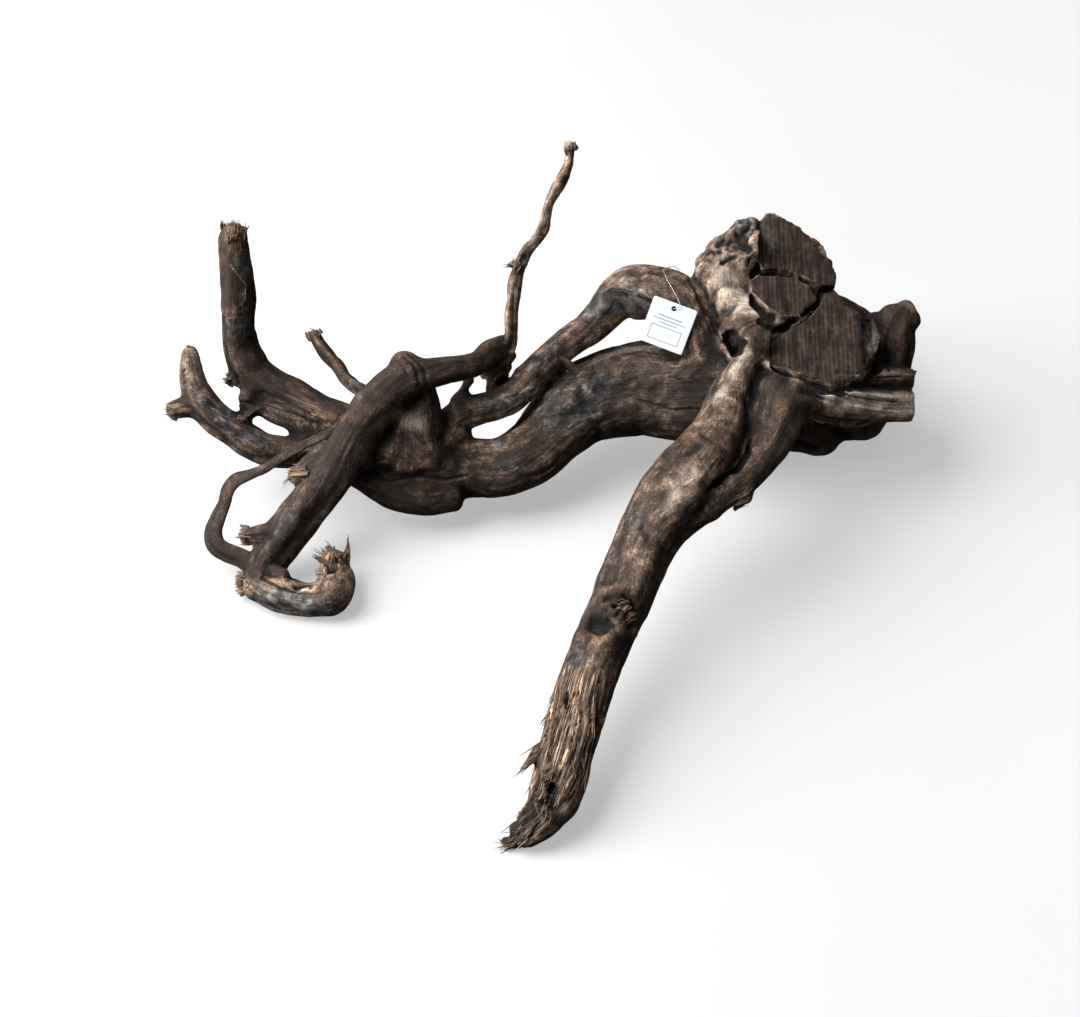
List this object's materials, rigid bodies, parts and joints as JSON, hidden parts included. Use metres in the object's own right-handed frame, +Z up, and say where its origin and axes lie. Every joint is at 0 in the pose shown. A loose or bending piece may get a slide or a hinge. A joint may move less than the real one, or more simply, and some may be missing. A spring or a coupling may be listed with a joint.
{
  "type": "bogwood root",
  "caption": "Gnarled bogwood root with a sawn burl stump, a long front leg, a twisted bough and torn side limbs, lying on its low points with a small blank hang tag.",
  "frame": {"origin": "centre of the bounding box, on the floor that the root rests on", "axes": "+Z up, +X towards the sawn stump on the viewer's right, -Y towards the viewer, where the long leg ends"},
  "size_m": [0.6584, 0.579, 0.3202],
  "materials": {
    "bog_wood": "rough",
    "white_card": "matte",
    "clear_plastic": "glossy"
  },
  "bodies": {
    "root": {"bogwood_root": "bog_wood", "hang_tag": "white_card", "tag_loop": "clear_plastic"}
  },
  "joints": []
}
